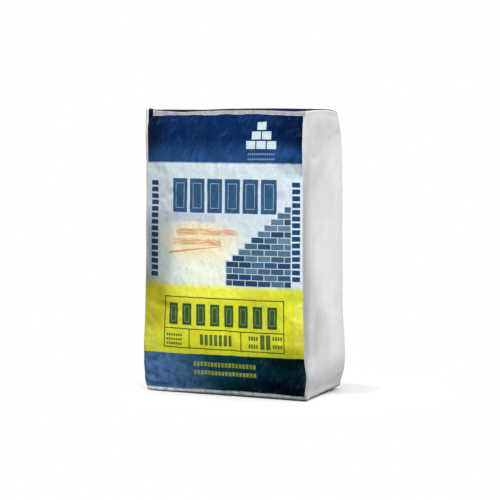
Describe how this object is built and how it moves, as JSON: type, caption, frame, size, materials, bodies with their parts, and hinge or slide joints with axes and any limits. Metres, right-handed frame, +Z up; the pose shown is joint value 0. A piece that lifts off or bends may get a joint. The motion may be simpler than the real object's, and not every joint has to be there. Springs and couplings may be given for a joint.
{
  "type": "cement bag",
  "caption": "Filled block-bottom valve sack of printed woven plastic, standing upright, for holding and handling loose powder such as cement.",
  "frame": {"origin": "on the floor under the middle of the standing sack", "axes": "+Z up along the sack's height, +X along its width towards the end without the valve, -Y out of the printed front"},
  "size_m": [0.3572, 0.2118, 0.5628],
  "materials": {
    "printed_sack": "laminated woven plastic, white, front and back printed in navy, white and yellow bands, soft satin sheen",
    "top_patch": "laminated woven plastic, navy with an unprinted white margin, satin",
    "bottom_patch": "laminated woven plastic, unprinted greyish white, satin",
    "valve_film": "milky film tube pressed flat, matte"
  },
  "bodies": {
    "root": {"sack_body": "printed_sack", "top_cover_patch": "top_patch", "bottom_cover_patch": "bottom_patch", "valve_sleeve": "valve_film"}
  },
  "joints": []
}
